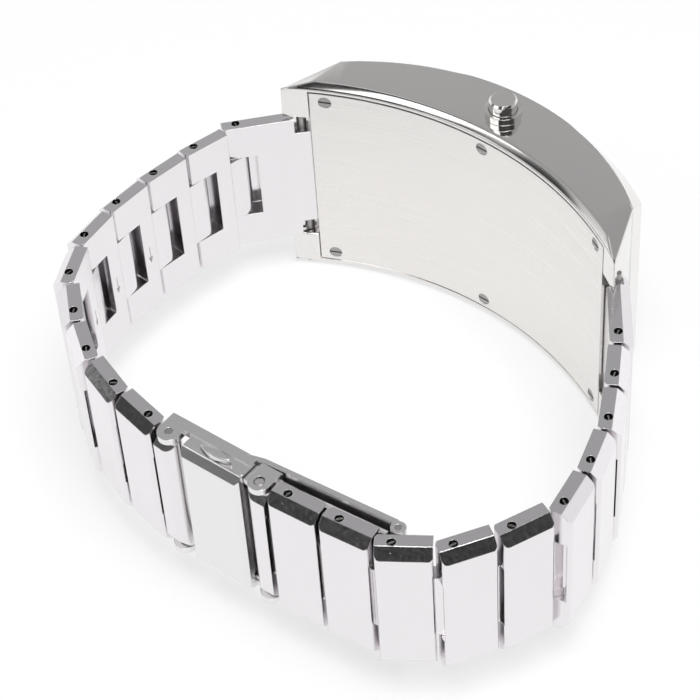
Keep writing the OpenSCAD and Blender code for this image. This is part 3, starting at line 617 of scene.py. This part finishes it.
def arrow(node, link):
    # drawn on the link's inner face: x runs along the link, z is the height
    tip, top, neck = arrowLook["to"], arrowLook["from"], arrowLook["to"] + arrowLook["head"]
    stem, head = arrowLook["stem"] / 2, arrowLook["headWidth"] / 2
    outline = [(-stem, top), (-stem, neck), (-head, neck), (0, tip), (head, neck), (stem, neck), (stem, top)]
    inner = max((v.co - link["far"]).dot(link["inward"]) for v in easedPieces[node].data.vertices)
    above = link["inward"] * (inner + arrowLook["height"])
    mesh = bpy.data.meshes.new(node + "Arrow")
    bm = bmesh.new()
    corners = []
    for x, z in outline:
        point = link["start"] + link["along"] * (arrowLook["along"] + x) + above
        corners.append(bm.verts.new((point.x, point.y, z)))
    face = bm.faces.new(corners)
    bm.normal_update()
    if face.normal.dot(link["inward"]) < 0:
        face.normal_flip()
    sides = bmesh.ops.extrude_face_region(bm, geom=[face], use_keep_orig=True)["geom"]
    moved = [g for g in sides if isinstance(g, bmesh.types.BMVert)]
    bmesh.ops.translate(bm, verts=moved, vec=link["inward"] * -2 * arrowLook["height"])
    bmesh.ops.recalc_face_normals(bm, faces=bm.faces)
    bm.to_mesh(mesh)
    bm.free()
    mesh.materials.append(finishes["pin_steel"])
    piece = added(node + "Arrow", mesh)
    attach(piece, bodyOf[node])


for number in arrowLook["links"]:
    name = "six_link_%d" % number
    arrow(name, links[name])
print("arrows set")


# the floor, a sheet of white paper

floorLook = {"size": 3.0, "color": (0.95, 0.95, 0.955), "roughness": 0.9, "glow": 0.65}


def floorPaper():
    # seen directly or in a reflection, most of the paper's white is its own, so the shadow stays faint
    mat, tree, bsdf = newMaterial("floorPaper")
    bsdf.inputs["Base Color"].default_value = (*floorLook["color"], 1)
    bsdf.inputs["Roughness"].default_value = floorLook["roughness"]
    rays = tree.nodes.new("ShaderNodeLightPath").outputs
    seen = calc(tree, "MAXIMUM", rays["Is Camera Ray"], rays["Is Glossy Ray"])
    seen = calc(tree, "MAXIMUM", seen, rays["Is Transmission Ray"])
    glow = tree.nodes.new("ShaderNodeEmission")
    blend = tree.nodes.new("ShaderNodeMixShader")
    tree.links.new(calc(tree, "MULTIPLY", seen, floorLook["glow"]), blend.inputs["Fac"])
    tree.links.new(bsdf.outputs["BSDF"], blend.inputs[1])
    tree.links.new(glow.outputs["Emission"], blend.inputs[2])
    tree.links.new(blend.outputs["Shader"], tree.nodes["Material Output"].inputs["Surface"])
    return mat


bpy.ops.mesh.primitive_plane_add(size=floorLook["size"], location=(0, 0, 0))
floor = bpy.context.object
floor.name = "studioFloor"
floor.data.materials.append(floorPaper())


# a white tent, grey overhead, with dark openings where the photographer stands and beside

studio = {
    # grey tones from straight below, 0, to straight above, 1
    "tones": [(0.0, 0.80), (0.5, 0.76), (0.60, 0.70), (0.72, 0.38), (0.85, 0.265), (0.94, 0.245),
              (1.0, 0.95)],
    "blue": 1.01, "strength": 1.5,
    "openings": [{"toward": (-0.40, 0.58, 0.66), "from": 0.48, "to": 0.64, "tone": 0.02},
                 {"toward": (0.70, 0.63, 0.30), "from": 0.955, "to": 0.98, "tone": 0.03},
                 {"toward": (0.30, -0.94, 0.10), "from": 0.94, "to": 0.97, "tone": 0.03}],
}


def tentTones(tree, around):
    split = tree.nodes.new("ShaderNodeSeparateXYZ")
    height = tree.nodes.new("ShaderNodeMapRange")
    height.inputs["From Min"].default_value = -1
    ramp = tree.nodes.new("ShaderNodeValToRGB")
    tree.links.new(around, split.inputs[0])
    tree.links.new(split.outputs["Z"], height.inputs["Value"])
    tree.links.new(height.outputs["Result"], ramp.inputs["Fac"])
    stops = ramp.color_ramp.elements
    for place, tone in studio["tones"][1:-1]:
        stops.new(place)
    for stop, (place, tone) in zip(stops, studio["tones"]):
        stop.position = place
        stop.color = (tone, tone, tone * studio["blue"], 1)
    return ramp.outputs["Color"]


def darkened(tree, around, tent, opening):
    # a soft round dark patch in one direction
    facing = tree.nodes.new("ShaderNodeVectorMath")
    facing.operation = "DOT_PRODUCT"
    facing.inputs[1].default_value = Vector(opening["toward"]).normalized()
    tree.links.new(around, facing.inputs[0])
    dark = tree.nodes.new("ShaderNodeMapRange")
    dark.interpolation_type = "SMOOTHSTEP"
    dark.inputs["From Min"].default_value = opening["from"]
    dark.inputs["From Max"].default_value = opening["to"]
    tree.links.new(facing.outputs["Value"], dark.inputs["Value"])
    tone = opening["tone"]
    return mixColors(tree, dark.outputs["Result"], tent, (tone, tone, tone, 1))


def studioWorld():
    world = bpy.data.worlds.new("studio")
    bpy.context.scene.world = world
    world.use_nodes = True
    tree = world.node_tree
    tree.nodes.clear()
    out = tree.nodes.new("ShaderNodeOutputWorld")
    background = tree.nodes.new("ShaderNodeBackground")
    around = tree.nodes.new("ShaderNodeTexCoord").outputs["Generated"]
    tent = tentTones(tree, around)
    for opening in studio["openings"]:
        tent = darkened(tree, around, tent, opening)
    tree.links.new(tent, background.inputs["Color"])
    background.inputs["Strength"].default_value = studio["strength"]
    tree.links.new(background.outputs["Background"], out.inputs["Surface"])


studioWorld()


# a soft box overhead and a strip that lights the case back's bevel, both turned to the watch

lamps = [
    {"name": "topSoftbox", "at": (-0.3, 0.2, 1.1), "size": (0.7, 0.7), "watts": 11.4},
    {"name": "bevelStrip", "at": (0.16, 0.43, 0.45), "size": (0.5, 0.11), "watts": 0.3},
]
lampAim = Vector((0, 0.03, 0.02))

for lamp in lamps:
    data = bpy.data.lights.new(lamp["name"], "AREA")
    data.shape = "RECTANGLE"
    data.size, data.size_y = lamp["size"]
    data.energy = lamp["watts"]
    holder = added(lamp["name"], data)
    holder.location = lamp["at"]
    holder.rotation_euler = (lampAim - Vector(lamp["at"])).to_track_quat("-Z", "Y").to_euler()


# the camera, turned by these degrees from looking straight down

view = {"place": (-0.1663, 0.2081, 0.26173), "turn": (44.2683, 2.9505, -139.0571),
        "lens": 122.25, "sensor": 36, "nearest": 0.01}

camData = bpy.data.cameras.new("photoCamera")
camData.lens = view["lens"]
camData.sensor_width = view["sensor"]
camData.clip_start = view["nearest"]
camera = added("photoCamera", camData)
camera.location = view["place"]
camera.rotation_euler = [math.radians(angle) for angle in view["turn"]]
bpy.context.scene.camera = camera
bpy.context.scene.view_settings.view_transform = "Standard"
print("stage set")
